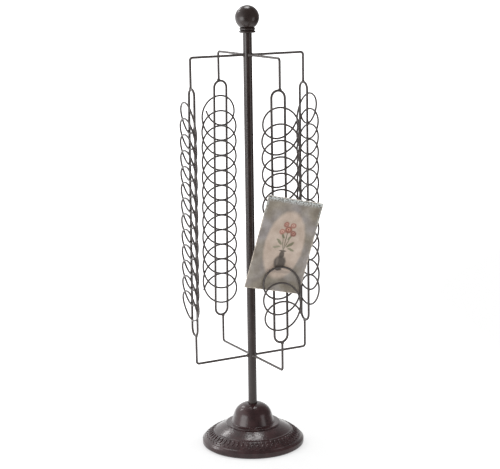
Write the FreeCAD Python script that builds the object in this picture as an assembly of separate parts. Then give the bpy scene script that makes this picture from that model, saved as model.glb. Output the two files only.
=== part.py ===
import FreeCAD, Part
import math
import os

from FreeCAD import Vector

# A table-top card rack that turns on a cast foot. A tube stands on a fixed spindle and
# carries four wire hangers above and four below. Each pair holds a long wire loop, and a
# flat coil of thin wire in front of it takes cards between its leaning turns.
# Millimetres, +Z up, origin on the surface the rack stands on, under the middle of the foot.
# The front panel faces -Y, and the others follow every quarter turn towards +X.

# Foot: a hollow casting with a domed hub, a bead and a round skirt
PAD_THICK = 1.0            # rubber ring under the rim
PAD_EDGE = 0.8             # the ring stays this far inside the flat of the rim
FOOT_R = 78.2
FOOT_WALL = 5.0
RIM_WIDTH = 9.5            # flat underside of the rim
RIM_ROUND = 2.6
RIM_HEIGHT = 7.8           # top of the upright edge of the rim, over the ring
SKIRT_BULGE = 1.9          # how far the skirt swells out from a straight cone
BEAD_R = 42.0
BEAD_THICK = 2.4
BEAD_TOP = 34.2
DOME_R = 33.2              # at the bead
DOME_ROUND = 22.0
DOME_TAPER = 17.0          # degrees that the dome's side leans in
DOME_TOP = 64.1
BOSS_R = 11.0
BOSS_BOTTOM = 27.2
SOCKET_DEPTH = 12.0        # the tube drops into the dome as into a socket
SOCKET_LIP = 1.0           # flat round the mouth of the socket

# Spindle and bearings
SPINDLE_D = 8.0
SPINDLE_REACH = 150.0      # length inside the tube
SPINDLE_FLANGE_R = 6.2
SPINDLE_FLANGE = 2.0
SPINDLE_TAIL = 3.0         # thread that shows below the nut
SPINDLE_CHAMFER = 0.8
NUT_FLATS = 13.0
NUT_THICK = 6.5
WASHER_R = 8.4
WASHER_THICK = 1.6
THRUST_THICK = 1.5
BUSH_FLANGE = 1.5
BUSH_LONG = 16.0
BUSH_INSET = 8.0           # the upper bush stays this far below the top of the spindle

# Tube and finial
TUBE_D = 13.5
TUBE_WALL = 1.0
PLUG_LONG = 14.0
STUD_D = 6.0
STUD_IN_BALL = 13.0
STUD_IN_PLUG = 12.0
COLLAR_R = 12.4
COLLAR_NECK_R = 11.0
COLLAR_HEIGHT = 8.2
COLLAR_BAND = 3.2          # height of the lower bead
BALL_R = 18.0
BALL_SEAT_R = 11.2         # flat that the ball stands on

# Hangers, loops and coils
ARM_Z = 140.7              # height of the lower hangers
ARM_REACH = 94.4           # from the axis to the hanging wire
ARM_BEND = 4.0
LOWER_DROP = 43.2          # lower arm to the loop
UPPER_DROP = 45.0          # loop to the upper arm
TUBE_ABOVE = 32.1          # tube over the upper hangers
WIRE_D = 3.7
LOOP_SPREAD = 21.0         # between the two uprights of a loop
LOOP_MARGIN_LOW = 22.4     # loop to the lowest turn
LOOP_MARGIN_HIGH = 20.7
PANEL_TWISTS = [-4.8, 1.0, 0.1, -4.8]     # degrees that each panel is turned on its hanging wire
PANEL_LEANS = [0.15, -0.1, 0.8, -1.2]     # degrees that it leans in its own plane
PANEL_SHIFTS = [-2.9, -0.7, -2.6, 3.2]    # its middle, to the right of the hanging wire
COIL_RISES = [-2.3, 3.3, -3.4, 1.6]       # its coil, welded on higher or lower
COIL_ASIDES = [0, 0, -0.9, 1.9]           # and further right
COIL_NARROWS = [2.6, 9.0, 5.0, 6.5]       # start of the coil, wound narrower

COIL_WIRE_D = 2.8
COIL_TURNS = 13
COIL_PITCH = 23.5
COIL_HALF_WIDTH = 29.5
COIL_HALF_HEIGHT = 28.2
COIL_LEAN = 4.8            # tops of the turns stand out, their bottoms stand in
PRESSED_LEAN = 3.4         # the coils without a card are pressed flatter
NARROW_TURNS = 1.2         # turns over which the start widens
COIL_TRIM = 0.07           # share of a turn left off at each end
COIL_GAP_LIMIT = 0.4
GAP_POINTS = 20            # points on each arc where the gap is measured
HEADING_STEP = 0.0005      # share of a turn over which its heading is taken

# Card in the front panel
CARD_PANEL = 0
CARD_WIDE = 89.0
CARD_TALL = 140.0
CARD_THICK = 0.4
CARD_TURN = 11             # the card stands behind the top of this turn
CARD_TILT = 8.31           # leans out at the top
CARD_ROLL = 13.04          # hangs askew, right corner low
CARD_YAW = 1.72
CARD_SIDE = -1.24          # middle of the card, left of the middle of the coil
CARD_RISE = 29.42          # middle of the card over the turn that holds it
CARD_SEAT = -3.9
CARD_SPREAD = 2.0          # the turns in front of the card are sprung out by this much
SPREAD_LEAD = 1.05         # turns before the card where they start to spring out
SPREAD_RAMP = 0.5          # share of a turn that it takes
DRAW_SIDE = -4.0           # the tops of the turns over the card are drawn to the left
DRAW_UP = 4.8              # and up
DRAW_TURNS = 1.0           # turns below the card's that are drawn as well

# Clearances
FIT = 0.02                 # pressed or screwed pieces, on the radius
RUN = 0.05                 # running fit on the spindle, on the radius
TUBE_GAP = 0.5             # tube in the mouth of the dome
WELD_GAP = 0.05            # coil to the uprights it is welded to
COPE = 0.6                 # share of a wire radius left over the wire it is coped to

# Values that follow
SPINDLE_R = SPINDLE_D / 2
TUBE_R = TUBE_D / 2
TUBE_BORE_R = TUBE_R - TUBE_WALL
WIRE_R = WIRE_D / 2
COIL_WIRE_R = COIL_WIRE_D / 2
STUD_R = STUD_D / 2

SOCKET_FLOOR = DOME_TOP - SOCKET_DEPTH
FLANGE_TOP = SOCKET_FLOOR + SPINDLE_FLANGE
THRUST_TOP = FLANGE_TOP + THRUST_THICK
TUBE_BOTTOM = THRUST_TOP + BUSH_FLANGE
SPINDLE_TOP = TUBE_BOTTOM + SPINDLE_REACH

LOOP_BOTTOM = ARM_Z + LOWER_DROP
COIL_BOTTOM = LOOP_BOTTOM + LOOP_MARGIN_LOW
COIL_TOP = COIL_BOTTOM + (COIL_TURNS - 1) * COIL_PITCH + 2 * COIL_HALF_HEIGHT - COIL_PITCH / 2
LOOP_TOP = COIL_TOP + LOOP_MARGIN_HIGH
UPPER_ARM_Z = LOOP_TOP + UPPER_DROP
TUBE_TOP = UPPER_ARM_Z + TUBE_ABOVE

LOOP_HALF = LOOP_SPREAD / 2

Z_AXIS = Vector(0, 0, 1)
FRONT_AXIS = Vector(0, -1, 0)
ORIGIN = Vector(0, 0, 0)


def line(a, b):
    return Part.LineSegment(a, b).toShape()


def arc(a, middle, b):
    return Part.Arc(a, middle, b).toShape()


def at(radius, height):
    """A point of a half section, in the plane of X and Z."""
    return Vector(radius, 0, height)


def bulged(a, b, bulge):
    """Arc from a to b in the plane of X and Z, swollen to the left of the way from a to b."""
    way = b - a
    side = Vector(-way.z, 0, way.x)
    side.normalize()
    return arc(a, (a + b) * 0.5 + side * bulge, b)


def corner(centre, radius, start, stop):
    """Arc about a centre in the plane of X and Z, between two angles in degrees."""
    points = []
    for angle in (start, (start + stop) / 2, stop):
        turn = math.radians(angle)
        points.append(centre + at(radius * math.cos(turn), radius * math.sin(turn)))
    return arc(*points)


def turned(edges):
    """Solid of revolution about Z from a closed half section."""
    return Part.Face(Part.Wire(edges)).revolve(ORIGIN, Z_AXIS, 360)


def outline(points):
    return [line(a, b) for a, b in zip(points, points[1:] + points[:1])]


def ring(inner, outer, bottom, top):
    return turned(outline([at(inner, bottom), at(outer, bottom), at(outer, top), at(inner, top)]))


def rod(radius, bottom, top):
    return Part.makeCylinder(radius, top - bottom, Vector(0, 0, bottom), Z_AXIS)


def swept(edges, radius):
    """Round wire along a smooth path."""
    path = Part.Wire(edges)
    first = edges[0]
    start = first.valueAt(first.FirstParameter)
    heading = first.tangentAt(first.FirstParameter)
    section = Part.Wire([Part.makeCircle(radius, start, heading)])
    solid = path.makePipeShell([section], True, False)
    expected = math.pi * radius ** 2 * path.Length
    return solid, solid.Volume / expected


def foot_casting():
    """Hollow foot with a socket for the tube at the top and a boss for the spindle inside."""
    socket_r = TUBE_R + TUBE_GAP
    bore_r = SPINDLE_R + FIT
    lean = math.radians(DOME_TAPER)
    dome_z = DOME_TOP - DOME_ROUND
    side_top_z = dome_z + DOME_ROUND * math.sin(lean)
    side_top_r = DOME_R - (side_top_z - BEAD_TOP) * math.tan(lean)
    dome_centre = at(side_top_r - DOME_ROUND * math.cos(lean), dome_z)
    mouth_angle = math.degrees(math.acos((socket_r + SOCKET_LIP - dome_centre.x) / DOME_ROUND))
    mouth_z = dome_z + DOME_ROUND * math.sin(math.radians(mouth_angle))
    inner_round = DOME_ROUND - FOOT_WALL
    inner_top = dome_centre + at(inner_round * math.cos(lean), inner_round * math.sin(lean))
    bead_half = BEAD_THICK / 2
    bead_centre = at(BEAD_R - bead_half, BEAD_TOP - bead_half)
    skirt_top = bead_centre - at(0, bead_half)
    rim_top = at(FOOT_R, PAD_THICK + RIM_HEIGHT)
    rim_centre = at(FOOT_R - RIM_ROUND, PAD_THICK + RIM_ROUND)
    rim_inside = at(FOOT_R - RIM_WIDTH, PAD_THICK)
    wall_foot = rim_inside + at(0, RIM_ROUND)
    wall_head_z = skirt_top.z - FOOT_WALL
    wall_head = at(inner_top.x + (inner_top.z - wall_head_z) * math.tan(lean), wall_head_z)
    meet = math.degrees(math.acos((BOSS_R - dome_centre.x) / inner_round))
    dome_inside = dome_centre + at(BOSS_R - dome_centre.x, inner_round * math.sin(math.radians(meet)))
    edges = [
        line(at(bore_r, BOSS_BOTTOM), at(bore_r, SOCKET_FLOOR)),
        line(at(bore_r, SOCKET_FLOOR), at(socket_r, SOCKET_FLOOR)),
        line(at(socket_r, SOCKET_FLOOR), at(socket_r, mouth_z)),
        line(at(socket_r, mouth_z), at(socket_r + SOCKET_LIP, mouth_z)),
        corner(dome_centre, DOME_ROUND, mouth_angle, DOME_TAPER),
        line(at(side_top_r, side_top_z), at(DOME_R, BEAD_TOP)),
        line(at(DOME_R, BEAD_TOP), at(bead_centre.x, BEAD_TOP)),
        corner(bead_centre, bead_half, 90, -90),
        bulged(skirt_top, rim_top, SKIRT_BULGE),
        line(rim_top, rim_centre + at(RIM_ROUND, 0)),
        corner(rim_centre, RIM_ROUND, 0, -90),
        line(rim_centre - at(0, RIM_ROUND), rim_inside),
        line(rim_inside, wall_foot),
        bulged(wall_foot, wall_head, -SKIRT_BULGE),
        line(wall_head, inner_top),
        corner(dome_centre, inner_round, DOME_TAPER, meet),
        line(dome_inside, at(BOSS_R, BOSS_BOTTOM)),
        line(at(BOSS_R, BOSS_BOTTOM), at(bore_r, BOSS_BOTTOM)),
    ]
    return turned(edges)


def rubber_ring():
    inner = FOOT_R - RIM_WIDTH + PAD_EDGE
    outer = FOOT_R - RIM_ROUND - PAD_EDGE
    return ring(inner, outer, 0, PAD_THICK)


def spindle():
    """Turned rod with a flange that sits on the socket's floor."""
    bottom = BOSS_BOTTOM - WASHER_THICK - NUT_THICK - SPINDLE_TAIL
    shank = rod(SPINDLE_R, bottom, SPINDLE_TOP)
    whole = shank.fuse(rod(SPINDLE_FLANGE_R, SOCKET_FLOOR, FLANGE_TOP)).removeSplitter()
    ends = [e for e in whole.Edges if abs(e.BoundBox.ZMax - e.BoundBox.ZMin) < SPINDLE_CHAMFER / 10
            and min(abs(e.BoundBox.ZMin - bottom), abs(e.BoundBox.ZMin - SPINDLE_TOP)) < SPINDLE_CHAMFER / 10]
    return whole.makeChamfer(SPINDLE_CHAMFER, ends)


def spindle_washer():
    return ring(SPINDLE_R + FIT, WASHER_R, BOSS_BOTTOM - WASHER_THICK, BOSS_BOTTOM)


def spindle_nut():
    """Hexagon nut with turned-down corners."""
    top = BOSS_BOTTOM - WASHER_THICK
    across = NUT_FLATS / math.sqrt(3)
    corners = [Vector(across * math.cos(math.radians(60 * k)), across * math.sin(math.radians(60 * k)), top)
               for k in range(6)]
    block = Part.Face(Part.Wire(outline(corners))).extrude(Vector(0, 0, -NUT_THICK))
    flats_r = NUT_FLATS / 2
    ease = across - flats_r
    round_off = turned(outline([at(0, top), at(across, top), at(across, top - NUT_THICK + ease),
                                at(flats_r, top - NUT_THICK), at(0, top - NUT_THICK)]))
    return block.common(round_off).cut(rod(SPINDLE_R + FIT, top - NUT_THICK, top))


def lower_bush():
    """Flanged bush: the flange carries the tube, the sleeve fills its end."""
    bore = SPINDLE_R + RUN
    sleeve_r = TUBE_BORE_R - FIT
    return turned(outline([at(bore, THRUST_TOP), at(TUBE_R, THRUST_TOP), at(TUBE_R, TUBE_BOTTOM),
                           at(sleeve_r, TUBE_BOTTOM), at(sleeve_r, TUBE_BOTTOM + BUSH_LONG),
                           at(bore, TUBE_BOTTOM + BUSH_LONG)]))


def upper_bush():
    top = SPINDLE_TOP - BUSH_INSET
    return ring(SPINDLE_R + RUN, TUBE_BORE_R - FIT, top - BUSH_LONG, top)


def finial_collar():
    """Turned collar of two beads, the lower one wider, with a groove between them."""
    low = TUBE_TOP + COLLAR_BAND
    top = TUBE_TOP + COLLAR_HEIGHT
    upper_half = (top - low) / 2
    bore = STUD_R + FIT
    lower_centre = at(COLLAR_R - COLLAR_BAND / 2, TUBE_TOP + COLLAR_BAND / 2)
    edges = [
        line(at(bore, TUBE_TOP), lower_centre - at(0, COLLAR_BAND / 2)),
        corner(lower_centre, COLLAR_BAND / 2, -90, 90),
        line(lower_centre + at(0, COLLAR_BAND / 2), at(COLLAR_NECK_R - COLLAR_BAND / 4, low)),
        arc(at(COLLAR_NECK_R - COLLAR_BAND / 4, low), at(COLLAR_NECK_R + COLLAR_BAND / 4, low + upper_half),
            at(COLLAR_NECK_R - COLLAR_BAND / 4, top)),
        line(at(COLLAR_NECK_R - COLLAR_BAND / 4, top), at(bore, top)),
        line(at(bore, top), at(bore, TUBE_TOP)),
    ]
    return turned(edges)


def finial_ball():
    seat = TUBE_TOP + COLLAR_HEIGHT
    rise = math.sqrt(BALL_R ** 2 - BALL_SEAT_R ** 2)
    ball = Part.makeSphere(BALL_R, Vector(0, 0, seat + rise))
    below = rod(BALL_R, seat + rise - 2 * BALL_R, seat)
    return ball.cut(below).cut(rod(STUD_R + FIT, seat, seat + STUD_IN_BALL))


def finial_stud():
    return rod(STUD_R, TUBE_TOP - STUD_IN_PLUG, TUBE_TOP + COLLAR_HEIGHT + STUD_IN_BALL)


def top_plug():
    return ring(STUD_R + FIT, TUBE_BORE_R - FIT, TUBE_TOP - PLUG_LONG, TUBE_TOP)


def front(x, out, height):
    """A point of the front panel: x to the right, out from the hanging wire towards the viewer."""
    return Vector(x, -ARM_REACH - out, height)


def set_panel(shape, panel):
    """Lean a true panel in its own plane, set it beside the hanging wire and turn it on that wire."""
    leaning = shape.rotated(front(0, 0, LOOP_TOP), FRONT_AXIS, PANEL_LEANS[panel])
    beside = leaning.translated(Vector(PANEL_SHIFTS[panel], 0, 0))
    return beside.rotated(front(0, 0, 0), Z_AXIS, PANEL_TWISTS[panel])


def loop_meeting(panel, end):
    """Height where the hanging wire meets the round end of a loop: end is 1 at the top, -1 at the bottom."""
    lean = math.radians(PANEL_LEANS[panel])
    down = LOOP_HALF if end > 0 else LOOP_TOP - LOOP_BOTTOM - LOOP_HALF
    aside = PANEL_SHIFTS[panel] + down * math.sin(lean)
    return LOOP_TOP - down * math.cos(lean) + end * math.sqrt(LOOP_HALF ** 2 - aside ** 2)


def frame_loop():
    """Long loop of wire with half-round ends."""
    right_low = front(LOOP_HALF, 0, LOOP_BOTTOM + LOOP_HALF)
    right_high = front(LOOP_HALF, 0, LOOP_TOP - LOOP_HALF)
    left_high = front(-LOOP_HALF, 0, LOOP_TOP - LOOP_HALF)
    left_low = front(-LOOP_HALF, 0, LOOP_BOTTOM + LOOP_HALF)
    edges = [
        line(right_low, right_high),
        arc(right_high, front(0, 0, LOOP_TOP), left_high),
        line(left_high, left_low),
        arc(left_low, front(0, 0, LOOP_BOTTOM), right_low),
    ]
    return swept(edges, WIRE_R)


def hanger(arm_z, loop_z, loop):
    """Wire welded to the tube, bent to hang or stand, and welded to the loop's end."""
    way = 1 if loop_z > arm_z else -1
    end_z = loop_z - way * WIRE_R * COPE
    bend_centre = front(0, -ARM_BEND, arm_z + way * ARM_BEND)
    half = ARM_BEND * math.sqrt(0.5)
    start = Vector(0, -(TUBE_R - TUBE_WALL), arm_z)
    bend_from = front(0, -ARM_BEND, arm_z)
    bend_to = front(0, 0, arm_z + way * ARM_BEND)
    edges = [
        line(start, bend_from),
        arc(bend_from, bend_centre + Vector(0, -half, -way * half), bend_to),
        line(bend_to, front(0, 0, end_z)),
    ]
    solid, share = swept(edges, WIRE_R)
    return solid.cut(rod(TUBE_R, arm_z - TUBE_D, arm_z + TUBE_D)).cut(loop)


def eased(share):
    """Goes smoothly from 0 to 1 as share does, and stays within them."""
    share = min(max(share, 0), 1)
    return share ** 2 * (3 - 2 * share)


def coil_lean(panel, rise):
    """How far a turn stands out of its coil's middle plane, from its bottom (rise -1) to its top (1)."""
    if panel == CARD_PANEL:
        return COIL_LEAN * rise
    return PRESSED_LEAN * rise * (3 - rise ** 2) / 2


def coil_stand(panel):
    """Middle plane of the coil in front of its loop: the turns touch the uprights near their lowest points."""
    nearest = LOOP_HALF - abs(COIL_ASIDES[panel])
    touch = math.sqrt(1 - (nearest / COIL_HALF_WIDTH) ** 2)
    return WIRE_R + COIL_WIRE_R + WELD_GAP + coil_lean(panel, touch)


def coil_point(turn, panel):
    """Middle of the coil's wire: turn runs from 0 to COIL_TURNS, and bottoms lie at a quarter."""
    phase = -2 * math.pi * turn
    rise = math.sin(phase)
    pushed = eased((turn - CARD_TURN + SPREAD_LEAD) / SPREAD_RAMP) if panel == CARD_PANEL else 0
    drawn = pushed * (1 - eased((turn - CARD_TURN - DRAW_TURNS) / SPREAD_RAMP)) * (1 + rise) / 2
    half_width = COIL_HALF_WIDTH - COIL_NARROWS[panel] * (1 - eased(turn / NARROW_TURNS))
    side = COIL_ASIDES[panel] + half_width * math.cos(phase) + DRAW_SIDE * drawn
    out = coil_stand(panel) + coil_lean(panel, rise) + CARD_SPREAD * pushed
    middle = COIL_TOP - COIL_HALF_HEIGHT - COIL_PITCH * (turn - 0.75)
    return front(side, out, middle + COIL_HALF_HEIGHT * rise + DRAW_UP * drawn)


def coil_heading(turn, panel):
    heading = coil_point(turn + HEADING_STEP, panel) - coil_point(turn - HEADING_STEP, panel)
    heading.normalize()
    return heading


def arc_from(start, heading, end):
    """Arc from a point and its heading to a second point."""
    chord = end - start
    along = Vector(chord)
    along.normalize()
    side = heading - along * heading.dot(along)
    side.normalize()
    half_turn = math.acos(max(-1, min(1, heading.dot(along)))) / 2
    return arc(start, (start + end) * 0.5 + side * (chord.Length / 2 * math.tan(half_turn)), end)


def biarc(start, start_heading, end, end_heading):
    """Two arcs that leave a point along one heading and reach another along a second."""
    way = end - start
    both = start_heading + end_heading
    bend = 2 * (1 - start_heading.dot(end_heading))
    reach = way.dot(both)
    step = (math.sqrt(reach ** 2 + bend * way.dot(way)) - reach) / bend
    middle = (start + end + (start_heading - end_heading) * step) * 0.5
    back = arc_from(end, end_heading * -1, middle)
    return [arc_from(start, start_heading, middle), back.reversed()]


def coil_path(panel):
    """The whole coil in biarcs of about an eighth of a turn, with a straight end of one wire's width."""
    first = COIL_TRIM
    last = COIL_TURNS - COIL_TRIM
    count = 8 * COIL_TURNS
    stops = [first + (last - first) * k / count for k in range(count + 1)]
    points = [coil_point(turn, panel) for turn in stops]
    headings = [coil_heading(turn, panel) for turn in stops]
    edges = [line(points[0] - headings[0] * COIL_WIRE_D, points[0])]
    for k in range(count):
        edges += biarc(points[k], headings[k], points[k + 1], headings[k + 1])
    edges.append(line(points[-1], points[-1] + headings[-1] * COIL_WIRE_D))
    return edges


def least_gap(edges):
    """Least clear distance of the wire from itself, measured between points along the path."""
    points = []
    travelled = 0
    for edge in edges:
        span = edge.LastParameter - edge.FirstParameter
        for k in range(GAP_POINTS):
            p = edge.valueAt(edge.FirstParameter + span * k / GAP_POINTS)
            points.append((travelled + edge.Length * k / GAP_POINTS, (p.x, p.y, p.z)))
        travelled += edge.Length
    turn_long = travelled / COIL_TURNS
    least = COIL_PITCH
    for i, (where, p) in enumerate(points):
        for other_where, q in points[i + 1:]:
            if other_where - where > 3 * turn_long:
                break
            if other_where - where > turn_long / 2:
                least = min(least, math.dist(p, q))
    return least - COIL_WIRE_D


def card_axes():
    """Middle of the card and its directions: along the lower edge, along the long edge, and out."""
    tilt = math.radians(CARD_TILT)
    roll = math.radians(CARD_ROLL)
    yaw = math.radians(CARD_YAW)
    up = Vector(0, -math.sin(tilt), math.cos(tilt))
    right = Vector(math.cos(yaw), -math.sin(yaw), 0)
    out = right.cross(up)
    out.normalize()
    right = up.cross(out)
    holding_top = COIL_TOP + COIL_RISES[CARD_PANEL] - COIL_PITCH * (CARD_TURN - 1.5)
    seat = front(0, coil_stand(CARD_PANEL) + COIL_LEAN, holding_top + CARD_SEAT)
    middle = seat + right * CARD_SIDE + up * CARD_RISE
    wide = right * math.cos(roll) - up * math.sin(roll)
    tall = right * math.sin(roll) + up * math.cos(roll)
    return middle, wide, tall, out


def sample_card():
    middle, wide, tall, out = card_axes()
    back = middle - out * (CARD_THICK / 2)
    corners = [back + wide * (CARD_WIDE / 2 * a) + tall * (CARD_TALL / 2 * b)
               for a, b in ((-1, -1), (1, -1), (1, 1), (-1, 1))]
    return Part.Face(Part.Wire(outline(corners))).extrude(out * CARD_THICK)


def save(node, shape):
    shape.exportStep("parts/" + node + ".step")
    valid = "valid" if shape.isValid() else "NOT VALID"
    print("%-18s %d solid  %10.1f mm3  %s" % (node, len(shape.Solids), shape.Volume, valid))


os.makedirs("parts", exist_ok=True)

save("foot_casting", foot_casting())
save("rubber_ring", rubber_ring())
save("spindle", spindle())
save("spindle_washer", spindle_washer())
save("spindle_nut", spindle_nut())
save("thrust_washer", ring(SPINDLE_R + RUN, SPINDLE_FLANGE_R, FLANGE_TOP, THRUST_TOP))
save("lower_bush", lower_bush())
save("upper_bush", upper_bush())
save("pole_tube", ring(TUBE_BORE_R, TUBE_R, TUBE_BOTTOM, TUBE_TOP))
save("top_plug", top_plug())
save("finial_stud", finial_stud())
save("finial_collar", finial_collar())
save("finial_ball", finial_ball())

loop, loop_share = frame_loop()
print("loop volume over section times length: %.5f" % loop_share)
for panel in range(len(PANEL_TWISTS)):
    turn = 360 / len(PANEL_TWISTS) * panel
    number = "_%d" % (panel + 1)
    edges = coil_path(panel)
    coil, coil_share = swept(edges, COIL_WIRE_R)
    tightest = min(e.Curve.Radius for e in edges if hasattr(e.Curve, "Radius"))
    print("coil%s volume over section times length: %.5f" % (number, coil_share))
    print("coil%s least gap to itself: %.2f mm, wanted over %.1f mm" % (number, least_gap(edges), COIL_GAP_LIMIT))
    print("coil%s tightest arc: %.1f mm" % (number, tightest))
    panel_loop = set_panel(loop, panel)
    panel_coil = set_panel(coil.translated(Vector(0, 0, COIL_RISES[panel])), panel)
    upper = hanger(UPPER_ARM_Z, loop_meeting(panel, 1), panel_loop)
    lower = hanger(ARM_Z, loop_meeting(panel, -1), panel_loop)
    save("upper_hanger" + number, upper.rotated(ORIGIN, Z_AXIS, turn))
    save("lower_hanger" + number, lower.rotated(ORIGIN, Z_AXIS, turn))
    save("frame_loop" + number, panel_loop.rotated(ORIGIN, Z_AXIS, turn))
    save("card_coil" + number, panel_coil.rotated(ORIGIN, Z_AXIS, turn))

save("sample_card", set_panel(sample_card(), CARD_PANEL))

lift = set_panel(Part.makeLine(ORIGIN, card_axes()[2]), CARD_PANEL)
lift_way = lift.Vertexes[1].Point - lift.Vertexes[0].Point
print("card lifts along (%.5f, %.5f, %.5f)" % (lift_way.x, lift_way.y, lift_way.z))
print("loop %.1f to %.1f, coil %.1f to %.1f, upper arm %.1f, tube %.1f to %.1f"
      % (LOOP_BOTTOM, LOOP_TOP, COIL_BOTTOM, COIL_TOP, UPPER_ARM_Z, TUBE_BOTTOM, TUBE_TOP))
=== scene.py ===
import math

import bpy
from mathutils import Matrix, Vector


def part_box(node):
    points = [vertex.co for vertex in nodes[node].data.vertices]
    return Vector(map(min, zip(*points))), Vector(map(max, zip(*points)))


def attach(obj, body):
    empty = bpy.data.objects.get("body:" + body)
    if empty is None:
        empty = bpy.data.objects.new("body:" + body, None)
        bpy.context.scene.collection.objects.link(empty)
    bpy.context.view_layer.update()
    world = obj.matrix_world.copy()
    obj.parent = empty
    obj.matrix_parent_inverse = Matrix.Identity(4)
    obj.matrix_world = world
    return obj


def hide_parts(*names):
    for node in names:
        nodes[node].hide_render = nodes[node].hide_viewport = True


# The rack as it stands on the counter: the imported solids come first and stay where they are.
# Its sizes are in millimetres, which MM turns to metres. The floor and the lamps are in metres.
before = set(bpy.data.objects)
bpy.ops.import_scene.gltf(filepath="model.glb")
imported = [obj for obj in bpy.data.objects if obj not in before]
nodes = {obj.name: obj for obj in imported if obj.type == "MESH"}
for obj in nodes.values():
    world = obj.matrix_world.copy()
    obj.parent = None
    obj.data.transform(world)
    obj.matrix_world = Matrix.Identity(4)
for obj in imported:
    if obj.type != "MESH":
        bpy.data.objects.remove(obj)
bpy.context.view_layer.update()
MM = 0.001


# Camera: a long lens about two metres off, a little higher than the rack, which looks down on
# the foot and past the left of the front panel. It is tilted very slightly to one side.
PHOTO_WIDTH_PX = 500
FOCAL_PX = 1399.7
SENSOR_MM = 36.0
CAMERA_TURN = math.radians(-28.39)
CAMERA_DIP = math.radians(11.434)
CAMERA_ROLL = math.radians(-0.838)
CAMERA_AWAY = 2069.1
CAMERA_HEIGHT = 747.5
CAMERA_SIDE = -0.35

lens = bpy.data.cameras.new("camera")
lens.sensor_width = SENSOR_MM
lens.lens = FOCAL_PX / PHOTO_WIDTH_PX * SENSOR_MM
camera = bpy.data.objects.new("camera", lens)
bpy.context.scene.collection.objects.link(camera)
stand_at = (Matrix.Rotation(CAMERA_TURN, 3, "Z")
            @ Vector((CAMERA_SIDE, -CAMERA_AWAY, CAMERA_HEIGHT)) * MM)
camera.matrix_world = (Matrix.Translation(stand_at)
                       @ Matrix.Rotation(CAMERA_TURN, 4, "Z")
                       @ Matrix.Rotation(math.pi / 2 - CAMERA_DIP, 4, "X")
                       @ Matrix.Rotation(CAMERA_ROLL, 4, "Z"))
bpy.context.scene.camera = camera


# Foot: one grey-iron sand casting, hollow underneath, with a domed hub, a bead round the hub's
# foot and a nearly straight skirt with two thin fillets. The pole drops into a socket on top.
RING_THICK = 1.0           # rubber under the rim
FOOT_R = 78.2
FOOT_WALL = 5.0
RIM_WIDTH = 9.5
RIM_ROUND = 2.6
RIM_HEIGHT = 7.8
SKIRT_BULGE = 1.9
SKIRT_POINTS = 110
SKIRT_FROM = 0.03          # share of the skirt that the bead covers
FILLETS = (0.47, 0.88)     # their places on the skirt, from the bead to the rim
FILLET_HALF = 0.02
FILLET_HIGH = 0.6
BEAD_R = 42.0
BEAD_THICK = 2.4
BEAD_TOP = 34.2
COVE = 1.8                 # hollow between the dome and the flat inside the bead
DOME_R = 33.2
DOME_ROUND = 22.0
DOME_TAPER = 17.0
DOME_TOP = 64.1
BOSS_R = 11.0
BOSS_BOTTOM = 27.2
SOCKET_R = 7.25
SOCKET_FLOOR = 52.1
SOCKET_LIP = 1.0
LIP_ROUND = 0.5
SPINDLE_BORE_R = 4.02
BEAD_END = -60             # degrees, where the bead runs out into the skirt
LIP_STEPS = 4              # points on each arc of the outline
DOME_STEPS = 28
COVE_STEPS = 7
BEAD_STEPS = 9
RIM_STEPS = 6
HOLLOW_STEPS = 16
INNER_DOME_STEPS = 10
LATHE_STEPS = 128
LATHE_CREASE = 30          # degrees, past which an edge stays sharp
MERGE_GAP = 0.001          # points nearer than this become one


def arc_points(centre, radius, start, stop, count):
    """Points of an arc in the plane of radius and height, between two angles in degrees."""
    points = []
    for k in range(count + 1):
        turn = math.radians(start + (stop - start) * k / count)
        points.append((centre[0] + radius * math.cos(turn), centre[1] + radius * math.sin(turn)))
    return points


def swollen_arc(a, b, bulge):
    """Centre, radius and end angles of an arc from a to b that stands out to the left."""
    way = Vector(b) - Vector(a)
    side = Vector((-way.y, way.x)).normalized()
    radius = (way.length ** 2 / 4 + bulge ** 2) / (2 * bulge)
    centre = (Vector(a) + Vector(b)) / 2 + side * (bulge - radius)
    start = math.degrees(math.atan2(a[1] - centre.y, a[0] - centre.x))
    stop = math.degrees(math.atan2(b[1] - centre.y, b[0] - centre.x))
    return (centre.x, centre.y), radius, start, stop


def pick_only(piece):
    bpy.ops.object.select_all(action="DESELECT")
    piece.select_set(True)
    bpy.context.view_layer.objects.active = piece


def turn_on_lathe(name, outline, steps):
    """Draws a half outline by extruding one point along it, and spins it about the pole's axis."""
    bpy.ops.object.select_all(action="DESELECT")
    bpy.ops.mesh.primitive_plane_add(size=MM, location=(0, 0, 0))
    piece = bpy.context.object
    piece.name = name
    bpy.ops.object.mode_set(mode="EDIT")
    bpy.ops.mesh.select_all(action="SELECT")
    bpy.ops.mesh.merge(type="CENTER")
    ring = outline + outline[:1]
    bpy.ops.transform.translate(value=(ring[0][0] * MM, 0, ring[0][1] * MM))
    for a, b in zip(ring, ring[1:]):
        step = ((b[0] - a[0]) * MM, 0, (b[1] - a[1]) * MM)
        bpy.ops.mesh.extrude_vertices_move(TRANSFORM_OT_translate={"value": step})
    bpy.ops.mesh.select_all(action="SELECT")
    bpy.ops.mesh.remove_doubles(threshold=MERGE_GAP * MM)
    bpy.ops.mesh.select_all(action="SELECT")
    bpy.ops.mesh.spin(steps=steps, angle=2 * math.pi, center=(0, 0, 0), axis=(0, 0, 1))
    bpy.ops.mesh.select_all(action="SELECT")
    bpy.ops.mesh.remove_doubles(threshold=MERGE_GAP * MM)
    bpy.ops.mesh.normals_make_consistent(inside=False)
    bpy.ops.object.mode_set(mode="OBJECT")
    pick_only(piece)
    bpy.ops.object.shade_smooth_by_angle(angle=math.radians(LATHE_CREASE))
    return piece


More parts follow.
